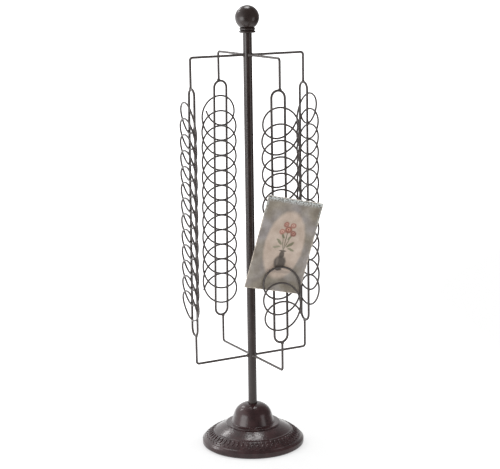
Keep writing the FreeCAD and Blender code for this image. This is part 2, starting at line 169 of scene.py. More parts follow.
lean = math.radians(DOME_TAPER)
dome_z = DOME_TOP - DOME_ROUND
side_top_z = dome_z + DOME_ROUND * math.sin(lean)
side_top_r = DOME_R - (side_top_z - BEAD_TOP) * math.tan(lean)
dome_centre = (side_top_r - DOME_ROUND * math.cos(lean), dome_z)
mouth_angle = math.degrees(math.acos((SOCKET_R + SOCKET_LIP - dome_centre[0]) / DOME_ROUND))
mouth_z = dome_z + DOME_ROUND * math.sin(math.radians(mouth_angle))
cove_rise = COVE * (1 - math.sin(lean))
cove_centre = (DOME_R - cove_rise * math.tan(lean) + COVE * math.cos(lean), BEAD_TOP + COVE)
inner_round = DOME_ROUND - FOOT_WALL
inner_top = (dome_centre[0] + inner_round * math.cos(lean), dome_z + inner_round * math.sin(lean))
bead_half = BEAD_THICK / 2
bead_centre = (BEAD_R - bead_half, BEAD_TOP - bead_half)
skirt_top = (bead_centre[0], BEAD_TOP - BEAD_THICK)
rim_top = (FOOT_R, RING_THICK + RIM_HEIGHT)
rim_centre = (FOOT_R - RIM_ROUND, RING_THICK + RIM_ROUND)
rim_inside = (FOOT_R - RIM_WIDTH, RING_THICK)
wall_foot = (rim_inside[0], RING_THICK + RIM_ROUND)
wall_head_z = skirt_top[1] - FOOT_WALL
wall_head = (inner_top[0] + (inner_top[1] - wall_head_z) * math.tan(lean), wall_head_z)
boss_meet = math.degrees(math.acos((BOSS_R - dome_centre[0]) / inner_round))
skirt_centre, skirt_round, skirt_start, skirt_stop = swollen_arc(skirt_top, rim_top, SKIRT_BULGE)


def on_skirt(share, lift=0.0):
    """Point over the skirt at a share of its way from bead to rim, and the way it faces."""
    facing = math.radians(skirt_start + (skirt_stop - skirt_start) * share)
    reach = skirt_round + lift
    point = (skirt_centre[0] + reach * math.cos(facing), skirt_centre[1] + reach * math.sin(facing))
    return point, facing


lip_centre = (SOCKET_R + LIP_ROUND, mouth_z - LIP_ROUND)
foot_outline = [(SPINDLE_BORE_R, BOSS_BOTTOM), (SPINDLE_BORE_R, SOCKET_FLOOR),
                (SOCKET_R, SOCKET_FLOOR)]
foot_outline += arc_points(lip_centre, LIP_ROUND, 180, 90, LIP_STEPS)
foot_outline += arc_points(dome_centre, DOME_ROUND, mouth_angle, DOME_TAPER, DOME_STEPS)
foot_outline += arc_points(cove_centre, COVE, 180 + DOME_TAPER, 270, COVE_STEPS)
foot_outline += arc_points(bead_centre, bead_half, 90, BEAD_END, BEAD_STEPS)
for k in range(SKIRT_POINTS + 1):
    share = SKIRT_FROM + (1 - SKIRT_FROM) * k / SKIRT_POINTS
    swell = sum(max(0, 1 - ((share - fillet) / FILLET_HALF) ** 2) for fillet in FILLETS)
    foot_outline.append(on_skirt(share, FILLET_HIGH * swell)[0])
foot_outline += arc_points(rim_centre, RIM_ROUND, 0, -90, RIM_STEPS)
foot_outline += [rim_inside]
foot_outline += arc_points(*swollen_arc(wall_head, wall_foot, SKIRT_BULGE), HOLLOW_STEPS)[::-1]
foot_outline += arc_points(dome_centre, inner_round, DOME_TAPER, boss_meet, INNER_DOME_STEPS)
foot_outline += [(BOSS_R, BOSS_BOTTOM)]
foot = turn_on_lathe("foot", foot_outline, LATHE_STEPS)


def linear(hex_code):
    """Linear red, green, blue and alpha from an sRGB hex code."""
    shares = [int(hex_code[k:k + 2], 16) / 255 for k in (1, 3, 5)]
    return [c / 12.92 if c <= 0.04045 else ((c + 0.055) / 1.055) ** 2.4 for c in shares] + [1.0]


def add_node(tree, kind, inputs=None, ramp=(), **settings):
    """Adds one node. inputs gives each socket, by name or number, a value or another socket.
    ramp gives a colour ramp the places and hex codes of its two stops."""
    node = tree.nodes.new(kind)
    for name, value in settings.items():
        setattr(node, name, value)
    for key, value in (inputs or {}).items():
        if isinstance(value, bpy.types.NodeSocket):
            tree.links.new(value, node.inputs[key])
        else:
            node.inputs[key].default_value = value
    for k, (at, hex_code) in enumerate(ramp):
        node.color_ramp.elements[k].position = at
        node.color_ramp.elements[k].color = linear(hex_code)
    return node


def new_finish(name):
    """A material with only its shader, and the Object coordinates that its patterns read."""
    finish = bpy.data.materials.new(name)
    finish.use_nodes = True
    tree = finish.node_tree
    place = add_node(tree, "ShaderNodeTexCoord").outputs["Object"]
    return finish, tree, tree.nodes["Principled BSDF"], place


def dress(piece, finish):
    piece.data.materials.clear()
    piece.data.materials.append(finish)


# Stoved enamel on cast iron: the sand's grain shows through the coat as slow dimples, and the
# gloss mirrors the lamps in soft patches that break up over them.
CAST_PATCH = 15.0          # width of the browner patches
CAST_DIMPLE = 3.4
CAST_GRAIN = 0.9

cast_enamel, tree, shader, place = new_finish("stoved_brown_enamel_on_cast_iron")
patches = add_node(tree, "ShaderNodeTexNoise",
                   {"Vector": place, "Scale": 1 / (CAST_PATCH * MM), "Detail": 3.0})
tone = add_node(tree, "ShaderNodeValToRGB",
                {"Fac": patches.outputs["Fac"]}, ramp=((0.32, "#2a1a1b"), (0.72, "#3d2829")))
dimples = add_node(tree, "ShaderNodeTexNoise",
                   {"Vector": place, "Scale": 1 / (CAST_DIMPLE * MM), "Detail": 2.0})
grain = add_node(tree, "ShaderNodeTexNoise",
                 {"Vector": place, "Scale": 1 / (CAST_GRAIN * MM), "Detail": 3.0})
gloss = add_node(tree, "ShaderNodeMapRange",
                 {"Value": grain.outputs["Fac"], "From Min": 0.3, "From Max": 0.7, "To Min": 0.17,
                  "To Max": 0.28})
slow = add_node(tree, "ShaderNodeBump",
                {"Height": dimples.outputs["Fac"], "Strength": 0.5, "Distance": 0.3 * MM})
fine = add_node(tree, "ShaderNodeBump",
                {"Height": grain.outputs["Fac"], "Strength": 0.3, "Distance": 0.06 * MM,
                 "Normal": slow.outputs["Normal"]})
tree.links.new(tone.outputs["Color"], shader.inputs["Base Color"])
tree.links.new(gloss.outputs["Result"], shader.inputs["Roughness"])
tree.links.new(fine.outputs["Normal"], shader.inputs["Normal"])
shader.inputs["IOR"].default_value = 1.52

dress(foot, cast_enamel)
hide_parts("foot_casting")
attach(foot, "foot")


# Ornament of the foot: a band of raised tongues with a pearl between their lower ends, carved
# round the pattern that the mould is made from, so it is cast in one with the skirt.
TONGUES = 54
TONGUE_SIDES = 14
TONGUE_HALF = (5.6, 2.5)
TONGUE_POINT = 1.6         # its upper end is drawn out to a point
TONGUE_TIP = 0.6           # from this share of its upper half on
MIDDLE_LINE = 0.1          # half width of the line that is drawn out
TONGUE_RINGS = ((0.9, 0.93), (0.55, 0.83), (0.15, 0.7), (-0.4, 0.5))
TONGUE_SHARE = 0.675       # its place on the skirt, from the bead to the rim
PEARL_SIDES = 10
PEARL_HALF = (1.15, 1.15)
PEARL_RINGS = ((0.85, 0.94), (0.45, 0.78), (0.3, 0.5))
PEARL_SHARE = 0.80
SINK = 0.5                 # depth of their lower edges in the skirt
ORNAMENT_CREASE = 50


def raise_lump(name, sides, half, rings):
    """A lump drawn up from a disc: each ring says how far it rises and how much it narrows."""
    bpy.ops.object.select_all(action="DESELECT")
    bpy.ops.mesh.primitive_circle_add(vertices=sides, radius=MM, fill_type="NGON",
                                      location=(0, 0, 0))
    lump = bpy.context.object
    lump.name = name
    bpy.ops.object.mode_set(mode="EDIT")
    bpy.ops.mesh.select_all(action="SELECT")
    bpy.ops.transform.resize(value=(*half, 1), center_override=(0, 0, 0))
    for rise, narrow in rings:
        bpy.ops.mesh.extrude_region_move(TRANSFORM_OT_translate={"value": (0, 0, rise * MM)})
        bpy.ops.transform.resize(value=(narrow, narrow, 1), center_override=(0, 0, 0))
    bpy.ops.mesh.select_all(action="SELECT")
    bpy.ops.mesh.normals_make_consistent(inside=False)
    bpy.ops.object.mode_set(mode="OBJECT")
    return lump


def set_copy(master, name, place):
    """A copy with a mesh of its own, moved to its place."""
    copy = bpy.data.objects.new(name, master.data.copy())
    copy.data.transform(place)
    bpy.context.scene.collection.objects.link(copy)
    return copy


def join_copies(name, copies, crease):
    bpy.ops.object.select_all(action="DESELECT")
    for copy in copies:
        copy.select_set(True)
    bpy.context.view_layer.objects.active = copies[0]
    bpy.ops.object.join()
    joined = bpy.context.object
    joined.name = name
    bpy.ops.object.shade_smooth_by_angle(angle=math.radians(crease))
    return joined


def skirt_place(share, turn):
    """Stands a lump on the skirt, with its length down the slope."""
    point, facing = on_skirt(share, -SINK)
    return (Matrix.Rotation(turn, 4, "Z") @ Matrix.Translation((point[0] * MM, 0, point[1] * MM))
            @ Matrix.Rotation(math.pi / 2 - facing, 4, "Y"))


tongue = raise_lump("tongue", TONGUE_SIDES, TONGUE_HALF, TONGUE_RINGS)
uphill = min(corner.co.x for corner in tongue.data.vertices)
for corner in tongue.data.vertices:
    corner.select = (corner.co.x < uphill * TONGUE_TIP
                     and abs(corner.co.y) < MIDDLE_LINE * MM)
pick_only(tongue)
bpy.ops.object.mode_set(mode="EDIT")
bpy.ops.transform.translate(value=(-TONGUE_POINT * MM, 0, 0))
bpy.ops.object.mode_set(mode="OBJECT")
pearl = raise_lump("pearl", PEARL_SIDES, PEARL_HALF, PEARL_RINGS)
lumps = []
for k in range(TONGUES):
    turn = 2 * math.pi * k / TONGUES
    between = turn + math.pi / TONGUES
    lumps.append(set_copy(tongue, "tongue_%d" % k, skirt_place(TONGUE_SHARE, turn)))
    lumps.append(set_copy(pearl, "pearl_%d" % k, skirt_place(PEARL_SHARE, between)))
bpy.data.objects.remove(tongue)
bpy.data.objects.remove(pearl)
ornament = join_copies("foot_ornament", lumps, ORNAMENT_CREASE)
dress(ornament, cast_enamel)
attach(ornament, "foot")


# Ring under the rim: a thin rubber moulding, glued on, that keeps the iron off the counter.
# Moulded rubber is matt, with a fine grit and a dusty bloom.
RUBBER_GRIT = 0.6
rubber, tree, shader, place = new_finish("black_moulded_rubber")
grit = add_node(tree, "ShaderNodeTexNoise",
                {"Vector": place, "Scale": 1 / (RUBBER_GRIT * MM), "Detail": 4.0})
bloom = add_node(tree, "ShaderNodeValToRGB",
                 {"Fac": grit.outputs["Fac"]}, ramp=((0.0, "#141414"), (1.0, "#2a2928")))
pits = add_node(tree, "ShaderNodeBump",
                {"Height": grit.outputs["Fac"], "Strength": 0.4, "Distance": 0.05 * MM})
tree.links.new(bloom.outputs["Color"], shader.inputs["Base Color"])
tree.links.new(pits.outputs["Normal"], shader.inputs["Normal"])
shader.inputs["Roughness"].default_value = 0.78
dress(nodes["rubber_ring"], rubber)


# Spindle with its washer and nut, the plug and the stud: turned mild steel, left bright, with
# the fine rings of the lathe tool across it. They hold the rack together out of sight.
TOOL_RING = 3.1416         # spacing of the rings, coarser than real ones so that they show
WAVE_RADIANS = 20          # the Wave node turns by this much over one unit at a scale of 1
steel, tree, shader, place = new_finish("turned_mild_steel")
rings = add_node(tree, "ShaderNodeTexWave",
                 {"Vector": place, "Scale": 2 * math.pi / WAVE_RADIANS / (TOOL_RING * MM),
                  "Distortion": 0.4}, bands_direction="Z")
shade = add_node(tree, "ShaderNodeValToRGB",
                 {"Fac": rings.outputs["Fac"]}, ramp=((0.0, "#8d8c8a"), (1.0, "#b4b3b0")))
ridges = add_node(tree, "ShaderNodeBump",
                  {"Height": rings.outputs["Fac"], "Strength": 0.2, "Distance": 0.02 * MM})
tree.links.new(shade.outputs["Color"], shader.inputs["Base Color"])
tree.links.new(ridges.outputs["Normal"], shader.inputs["Normal"])
shader.inputs["Metallic"].default_value = 1.0
shader.inputs["Roughness"].default_value = 0.32
for name in ("spindle", "spindle_washer", "spindle_nut", "top_plug", "finial_stud"):
    dress(nodes[name], steel)


# Thrust washer and bushes: turned from natural nylon rod. The bushes are pressed into the tube,
# and the washer lies loose under it. Nylon is pale, waxy and a little cloudy.
CLOUD = 5.0
nylon, tree, shader, place = new_finish("natural_nylon")
clouds = add_node(tree, "ShaderNodeTexNoise",
                  {"Vector": place, "Scale": 1 / (CLOUD * MM), "Detail": 2.0})
wax = add_node(tree, "ShaderNodeValToRGB",
               {"Fac": clouds.outputs["Fac"]}, ramp=((0.0, "#ded9cb"), (1.0, "#f1eee4")))
tree.links.new(wax.outputs["Color"], shader.inputs["Base Color"])
shader.inputs["Roughness"].default_value = 0.42
for name in ("thrust_washer", "lower_bush", "upper_bush"):
    dress(nodes[name], nylon)


# Pole: drawn steel tube that stands on the spindle in the foot and turns with all the wires.
# Its ends are cut square and eased with a file.
TUBE_R = 6.75
TUBE_WALL = 1.0
TUBE_EASE = 0.3
SLIM_STEPS = 64            # round the pole and the finial
tube_low, tube_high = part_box("pole_tube")
tube_bottom = tube_low.z / MM
tube_top = tube_high.z / MM
bore = TUBE_R - TUBE_WALL
pole_outline = [(bore, tube_bottom), (TUBE_R - TUBE_EASE, tube_bottom),
                (TUBE_R, tube_bottom + TUBE_EASE), (TUBE_R, tube_top - TUBE_EASE),
                (TUBE_R - TUBE_EASE, tube_top), (bore, tube_top)]
pole = turn_on_lathe("pole", pole_outline, SLIM_STEPS)

# Stoved enamel on drawn steel: sprayed after welding, smooth and glossy, with a faint orange
# peel and slightly duller, browner patches where the coat is thin.
THIN_PATCH = 11.0
PEEL = 1.6


def spray_enamel(name, deep, pale, gloss, dull):
    """The sprayed coat, from its deep colour and gloss to its pale and dull patches."""
    finish, tree, shader, place = new_finish(name)
    thin = add_node(tree, "ShaderNodeTexNoise",
                    {"Vector": place, "Scale": 1 / (THIN_PATCH * MM), "Detail": 4.0})
    hue = add_node(tree, "ShaderNodeValToRGB",
                   {"Fac": thin.outputs["Fac"]}, ramp=((0.3, deep), (0.75, pale)))
    peel = add_node(tree, "ShaderNodeTexNoise",
                    {"Vector": place, "Scale": 1 / (PEEL * MM), "Detail": 2.0})
    sheen = add_node(tree, "ShaderNodeMapRange",
                     {"Value": thin.outputs["Fac"], "From Min": 0.3, "From Max": 0.7,
                      "To Min": gloss, "To Max": dull})
    skin = add_node(tree, "ShaderNodeBump",
                    {"Height": peel.outputs["Fac"], "Strength": 0.2, "Distance": 0.03 * MM})
    tree.links.new(hue.outputs["Color"], shader.inputs["Base Color"])
    tree.links.new(sheen.outputs["Result"], shader.inputs["Roughness"])
    tree.links.new(skin.outputs["Normal"], shader.inputs["Normal"])
    shader.inputs["IOR"].default_value = 1.5
    return finish


pole_enamel = spray_enamel("stoved_brown_enamel_on_steel", "#241b19", "#342926", 0.18, 0.3)
dress(pole, pole_enamel)
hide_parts("pole_tube")
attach(pole, "carousel")


# Finial: a collar of two beads and a ball, both turned from bar and screwed down on a stud.
# The ball has a flat where it sits on the collar.
STUD_BORE_R = 3.02
COLLAR_R = 12.4            # to the outside of the lower bead
COLLAR_TOP_R = 11.8        # and of the upper one
COLLAR_BAND = 3.2          # height of the lower bead
BALL_R = 18.0
BALL_SEAT_R = 11.2
STUD_IN_BALL = 13.0
LOWER_BEAD = (-90, 80)     # degrees that each bead and the ball run through
UPPER_BEAD = (-75, 90)
BALL_CROWN = 89.5
COLLAR_STEPS = 10
BALL_STEPS = 40
collar_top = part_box("finial_collar")[1].z / MM
ball_centre = (0, collar_top + math.sqrt(BALL_R ** 2 - BALL_SEAT_R ** 2))
seat_angle = -math.degrees(math.acos(BALL_SEAT_R / BALL_R))
lower_half = COLLAR_BAND / 2
lower_centre = (COLLAR_R - lower_half, tube_top + lower_half)
upper_half = (collar_top - tube_top - COLLAR_BAND) / 2
upper_centre = (COLLAR_TOP_R - upper_half, tube_top + COLLAR_BAND + upper_half)
collar_outline = [(STUD_BORE_R, tube_top)]
collar_outline += arc_points(lower_centre, lower_half, *LOWER_BEAD, COLLAR_STEPS)
collar_outline += arc_points(upper_centre, upper_half, *UPPER_BEAD, COLLAR_STEPS)
collar_outline += [(STUD_BORE_R, collar_top)]
collar = turn_on_lathe("collar", collar_outline, SLIM_STEPS)
ball_outline = arc_points(ball_centre, BALL_R, seat_angle, BALL_CROWN, BALL_STEPS)
ball_outline += [(0, ball_centre[1] + BALL_R), (0, collar_top + STUD_IN_BALL),
                 (STUD_BORE_R, collar_top + STUD_IN_BALL), (STUD_BORE_R, collar_top)]
ball = turn_on_lathe("ball", ball_outline, SLIM_STEPS)
for piece, node in ((collar, "finial_collar"), (ball, "finial_ball")):
    dress(piece, pole_enamel)
    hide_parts(node)
    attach(piece, "carousel")


# Loops: drawn wire, bent round into a long loop with half-round ends and butt welded. They are
# hung by hand, so each is turned a little, leans and sits off the middle of its hanging wire.
WIRE_R = 1.85
WIRE_SIDES = 16
WIRE_CREASE = 40
LOOP_BOTTOM = 183.9
LOOP_TOP = 553.65
LOOP_HALF = 10.5           # half its width, to the middle of the wire
LOOP_STEPS = 16
ARM_REACH = 94.4           # from the pole's axis to the hanging wire
PANEL_TWISTS = (-4.8, 1.0, 0.1, -4.8)     # degrees that each is turned on its hanging wire
PANEL_LEANS = (0.15, -0.1, 0.8, -1.2)     # and leans in its own plane
PANEL_SHIFTS = (-2.9, -0.7, -2.6, 3.2)    # and how far it sits beside that wire
QUARTER = math.pi / 2


def start_wire(name, spot, turn, fill):
    """The cut end of a wire, from which it is drawn out."""
    bpy.ops.object.select_all(action="DESELECT")
    bpy.ops.mesh.primitive_circle_add(vertices=WIRE_SIDES, radius=WIRE_R * MM, fill_type=fill,
                                      location=Vector(spot) * MM, rotation=turn)
    wire = bpy.context.object
    wire.name = name
    bpy.ops.object.transform_apply(location=True, rotation=True, scale=True)
    bpy.ops.object.mode_set(mode="EDIT")
    bpy.ops.mesh.select_all(action="SELECT")
    return wire


def draw_wire(x, y, z):
    bpy.ops.mesh.extrude_region_move(TRANSFORM_OT_translate={"value": (x * MM, y * MM, z * MM)})


def end_wire(wire):
    bpy.ops.mesh.select_all(action="SELECT")
    bpy.ops.mesh.remove_doubles(threshold=MERGE_GAP * MM)
    bpy.ops.mesh.normals_make_consistent(inside=False)
    bpy.ops.object.mode_set(mode="OBJECT")
    pick_only(wire)
    bpy.ops.object.shade_smooth_by_angle(angle=math.radians(WIRE_CREASE))


def turn_to_panel(panel):
    """Turns what is modelled at the front to its panel, 1 at the front and on to the right."""
    return Matrix.Rotation(QUARTER * (panel - 1), 4, "Z")


def hang_panel(panel):
    """Takes what is modelled about the hanging wire out to its panel, turned on that wire."""
    twist = math.radians(PANEL_TWISTS[panel - 1])
    return (turn_to_panel(panel) @ Matrix.Translation((0, -ARM_REACH * MM, 0))
            @ Matrix.Rotation(twist, 4, "Z"))


def set_panel(panel):
    """As hang_panel, and leaning about the loop's top and beside the hanging wire as well."""
    askew = math.radians(PANEL_LEANS[panel - 1])
    loop_top = Matrix.Translation((PANEL_SHIFTS[panel - 1] * MM, 0, LOOP_TOP * MM))
    return (hang_panel(panel) @ loop_top @ Matrix.Rotation(-askew, 4, "Y")
            @ Matrix.Translation((0, 0, -LOOP_TOP * MM)))


upright = LOOP_TOP - LOOP_BOTTOM - 2 * LOOP_HALF
plain_loop = start_wire("plain_loop", (LOOP_HALF, 0, LOOP_BOTTOM + LOOP_HALF), (0, 0, 0), "NOTHING")
for way, bend in ((1, LOOP_TOP - LOOP_HALF), (-1, LOOP_BOTTOM + LOOP_HALF)):
    draw_wire(0, 0, way * upright)
    bpy.ops.mesh.spin(steps=LOOP_STEPS, angle=math.pi, axis=(0, 1, 0), center=(0, 0, bend * MM))
end_wire(plain_loop)

# The same enamel on wire: little of the spray stays on so thin a round, so the coat is paler
# and duller than the pole's, and the grey of the steel comes through.
wire_enamel = spray_enamel("thin_brown_enamel_on_wire", "#3a3432", "#4d4643", 0.26, 0.4)
for panel in range(1, 5):
    loop = set_copy(plain_loop, "loop_%d" % panel, set_panel(panel))
    dress(loop, wire_enamel)
    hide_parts("frame_loop_%d" % panel)
    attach(loop, "carousel")
bpy.data.objects.remove(plain_loop)


# Hangers: the same wire, cut to length and bent cold. Each runs straight out of the pole and
# turns down, or up in the lower row, to the round end of the loop that it is welded to.
BEND_STEPS = 8
ARM_BEND = 4.0
ARM_ROOT = 0.6             # the wire's end is sunk this far into the pole's wall
LOWER_ARM_Z = 140.7
UPPER_ARM_Z = 598.65
LOOP_SINK = 0.6            # the other end stops this far from the middle of the loop's wire


def loop_meeting(panel, end):
    """Height where a hanging wire meets its loop, at the top (1) or bottom (-1), and the slope."""
    askew = math.radians(PANEL_LEANS[panel - 1])
    down = LOOP_HALF if end > 0 else LOOP_TOP - LOOP_BOTTOM - LOOP_HALF
    aside = PANEL_SHIFTS[panel - 1] + down * math.sin(askew)
    height = LOOP_TOP - down * math.cos(askew) + end * math.sqrt(LOOP_HALF ** 2 - aside ** 2)
    return height, end * math.asin(aside / LOOP_HALF)


for panel in range(1, 5):
    for row, end, arm_z in (("upper", 1, UPPER_ARM_Z), ("lower", -1, LOWER_ARM_Z)):
        hanger = start_wire("%s_wire_%d" % (row, panel), (0, ARM_ROOT - TUBE_R, arm_z),
                            (QUARTER, 0, 0), "NGON")
        draw_wire(0, TUBE_R - ARM_ROOT + ARM_BEND - ARM_REACH, 0)
        bpy.ops.mesh.spin(steps=BEND_STEPS, angle=-end * QUARTER, axis=(1, 0, 0),
                          center=(0, (ARM_BEND - ARM_REACH) * MM, (arm_z - end * ARM_BEND) * MM))
        draw_wire(0, 0, loop_meeting(panel, end)[0] - arm_z + end * (ARM_BEND + LOOP_SINK))
        end_wire(hanger)
        hanger.data.transform(turn_to_panel(panel))
        dress(hanger, wire_enamel)
        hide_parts("%s_hanger_%d" % (row, panel))
        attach(hanger, "carousel")


# Card coils: thinner wire wound in one flat run of leaning turns, so that each top stands out in
# front of the turn above and takes a card behind it. A card springs the turns in front of it out,
# and each coil starts with a narrower turn, as it comes off the former.
COIL_TURNS = 13
COIL_PITCH = 23.5
COIL_HALF_WIDTH = 29.5
COIL_HALF_HEIGHT = 28.2
COIL_LEAN = 4.8
PRESSED_LEAN = 3.4         # the coils without a card are pressed flatter
COIL_BOTTOM = 0.25         # share of a turn after which it is at its bottom
COIL_CROWN = 0.75          # and at its top
COIL_TRIM = 0.07           # share of a turn that is cut off at both ends
COIL_TOP = 532.95
COIL_RISES = (-2.3, 3.3, -3.4, 1.6)       # each coil is welded on a little higher or lower
COIL_ASIDES = (0, 0, -0.9, 1.9)           # and to the right or left
COIL_NARROWS = (2.6, 9.0, 5.0, 6.5)       # and starts narrower
NARROW_TURNS = 1.2         # turns after which it is at its full width
COIL_WIRE_R = 1.4
COIL_STUB = 2.8            # straight piece at both ends
COIL_BEVEL = 4             # bevel resolution, which gives the wire 12 sides
WELD_GAP = 0.05            # between the coil and the uprights, filled by the welds
POINTS_PER_TURN = 40
CARD_PANEL = 1
CARD_TURN = 11             # the turn that holds the card, from the top
CARD_SPREAD = 2.0          # the card springs the turns in front of it out this far
SPREAD_LEAD = 1.05         # from so many turns above the one that holds it
SPREAD_RAMP = 0.5          # over this share of a turn
DRAW_SIDE = -4.0           # and draws the tops of two of them to the left and up
DRAW_UP = 4.8
DRAW_TURNS = 1.0           # down to so many turns below the one that holds it


def eased(share):
    """Goes smoothly from 0 to 1 as share does, and stays within them."""
    share = min(max(share, 0), 1)
    return share ** 2 * (3 - 2 * share)


def coil_push(panel, turn):
    """Share of the card's push on the wire after so many turns."""
    return eased((turn - CARD_TURN + SPREAD_LEAD) / SPREAD_RAMP) if panel == CARD_PANEL else 0


def coil_lean(panel, rise):
    """How far a turn stands out of its coil's middle plane, from bottom (rise -1) to top (1)."""
    if panel == CARD_PANEL:
        return COIL_LEAN * rise
    return PRESSED_LEAN * rise * (3 - rise ** 2) / 2


def coil_stand(panel):
    """Middle plane of the coil in front of its loop, where its bottoms touch the uprights."""
    nearest = LOOP_HALF - abs(COIL_ASIDES[panel - 1])
    touch = math.sqrt(1 - (nearest / COIL_HALF_WIDTH) ** 2)
    return WIRE_R + COIL_WIRE_R + WELD_GAP + coil_lean(panel, touch)


def coil_half(panel, turn):
    """Half the coil's width after so many turns from the top."""
    return COIL_HALF_WIDTH - COIL_NARROWS[panel - 1] * (1 - eased(turn / NARROW_TURNS))


def coil_place(panel, turn):
    """Middle of the wire after so many turns from the top, in its panel."""
    phase = -2 * math.pi * turn
    rise = math.sin(phase)
    pushed = coil_push(panel, turn)
    drawn = pushed * (1 - eased((turn - CARD_TURN - DRAW_TURNS) / SPREAD_RAMP)) * (1 + rise) / 2
    side = COIL_ASIDES[panel - 1] + coil_half(panel, turn) * math.cos(phase) + DRAW_SIDE * drawn
    out = coil_stand(panel) + coil_lean(panel, rise) + CARD_SPREAD * pushed
    middle = COIL_TOP - COIL_HALF_HEIGHT - COIL_PITCH * (turn - COIL_CROWN)
    height = middle + COIL_HALF_HEIGHT * rise + DRAW_UP * drawn
    return Vector((side, -out, height + COIL_RISES[panel - 1])) * MM


def wind_wire(name, points, radius):
    """Round wire along a line through points, as a mesh."""
    line = bpy.data.curves.new(name, "CURVE")
    line.dimensions = "3D"
    spline = line.splines.new("POLY")
    spline.points.add(len(points) - 1)
    for knot, point in zip(spline.points, points):
        knot.co = (*point, 1)
    line.bevel_depth = radius * MM
    line.bevel_resolution = COIL_BEVEL
    line.use_fill_caps = True
    wire = bpy.data.objects.new(name, line)
    bpy.context.scene.collection.objects.link(wire)
    pick_only(wire)
    bpy.ops.object.convert(target="MESH")
    wire = bpy.context.object
    bpy.ops.object.mode_set(mode="EDIT")
    bpy.ops.mesh.select_all(action="SELECT")
    bpy.ops.mesh.remove_doubles(threshold=MERGE_GAP * MM)
    bpy.ops.mesh.normals_make_consistent(inside=False)
    bpy.ops.object.mode_set(mode="OBJECT")
    bpy.ops.object.shade_smooth_by_angle(angle=math.radians(WIRE_CREASE))
    return wire


for panel in range(1, 5):
    count = POINTS_PER_TURN * COIL_TURNS
    span = COIL_TURNS - 2 * COIL_TRIM
    points = [coil_place(panel, COIL_TRIM + span * k / count) for k in range(count + 1)]
    first = points[0] + (points[0] - points[1]).normalized() * COIL_STUB * MM
    last = points[-1] + (points[-1] - points[-2]).normalized() * COIL_STUB * MM
    points = [set_panel(panel) @ point for point in [first] + points + [last]]
    coil = wind_wire("coil_%d" % panel, points, COIL_WIRE_R)
    dress(coil, wire_enamel)
    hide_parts("card_coil_%d" % panel)
    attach(coil, "carousel")


# Welds: a fillet round each hanger on the pole, a lump where it meets its loop, and a spot weld
# wherever the coil's bottoms cross the uprights. All are sprayed over with the same enamel.
WELD_SIDES = 12
WELD_CREASE = 60
POLE_WELD_HALF = (3.1, 3.1)
POLE_WELD_RINGS = ((1.1, 0.94), (0.7, 0.86), (0.7, 0.84), (0.8, 0.84))
LOOP_WELD_HALF = (2.6, 2.0)
LOOP_WELD_RINGS = ((0.9, 1.12), (1.0, 1.05), (1.1, 0.95), (1.2, 0.82), (0.9, 0.8))
LOOP_WELD_DEEP = 1.4       # its foot lies this far past the middle of the loop's wire
SPOT_SIDES = 8
SPOT_HALF = (0.95, 0.85)
SPOT_RINGS = ((0.35, 1.35), (0.35, 1.12), (0.4, 0.9), (0.4, 0.7))
SPOT_LONG = 1.5            # its height, which the rings add up to
SPOT_SINK = 0.6            # its foot lies this deep in the upright
pole_weld = raise_lump("pole_weld", WELD_SIDES, POLE_WELD_HALF, POLE_WELD_RINGS)
loop_weld = raise_lump("loop_weld", WELD_SIDES, LOOP_WELD_HALF, LOOP_WELD_RINGS)
spot_weld = raise_lump("spot_weld", SPOT_SIDES, SPOT_HALF, SPOT_RINGS)
for panel in range(1, 5):
    welds = []
    for end, arm_z in ((1, UPPER_ARM_Z), (-1, LOWER_ARM_Z)):
        root = Matrix.Translation((0, (ARM_ROOT - TUBE_R) * MM, arm_z * MM))
        root = root @ Matrix.Rotation(QUARTER, 4, "X")
        welds.append(set_copy(pole_weld, "weld", turn_to_panel(panel) @ root))
        height, slope = loop_meeting(panel, end)
        tip = Matrix.Translation((0, 0, height * MM)) @ Matrix.Rotation(-slope / 2, 4, "Y")
        if end < 0:
            tip = tip @ Matrix.Rotation(math.pi, 4, "X")
        tip = tip @ Matrix.Translation((0, 0, -LOOP_WELD_DEEP * MM))
        welds.append(set_copy(loop_weld, "weld", hang_panel(panel) @ tip))
    frame_welds = join_copies("frame_welds_%d" % panel, welds, WELD_CREASE)
    spots = []
    for k in range(COIL_TURNS):
        for side in (-1, 1):
            bottom = k + COIL_BOTTOM
            reach = (side * LOOP_HALF - COIL_ASIDES[panel - 1]) / coil_half(panel, bottom)
            turn = bottom - math.asin(reach) / (2 * math.pi)
            cross = coil_place(panel, turn)
            deep = SPOT_LONG + CARD_SPREAD * coil_push(panel, turn)
            spot = Matrix.Translation((cross.x, -(WIRE_R - SPOT_SINK) * MM, cross.z))
            spot = spot @ Matrix.Rotation(QUARTER, 4, "X")
            spot = spot @ Matrix.Diagonal((1, 1, deep / SPOT_LONG, 1))
            spots.append(set_copy(spot_weld, "spot", set_panel(panel) @ spot))
    coil_welds = join_copies("coil_welds_%d" % panel, spots, WELD_CREASE)
    for piece, slot in ((frame_welds, "frame_enamel"), (coil_welds, "coil_enamel")):
        dress(piece, wire_enamel)
        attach(piece, "carousel")
for master in (pole_weld, loop_weld, spot_weld):
    bpy.data.objects.remove(master)


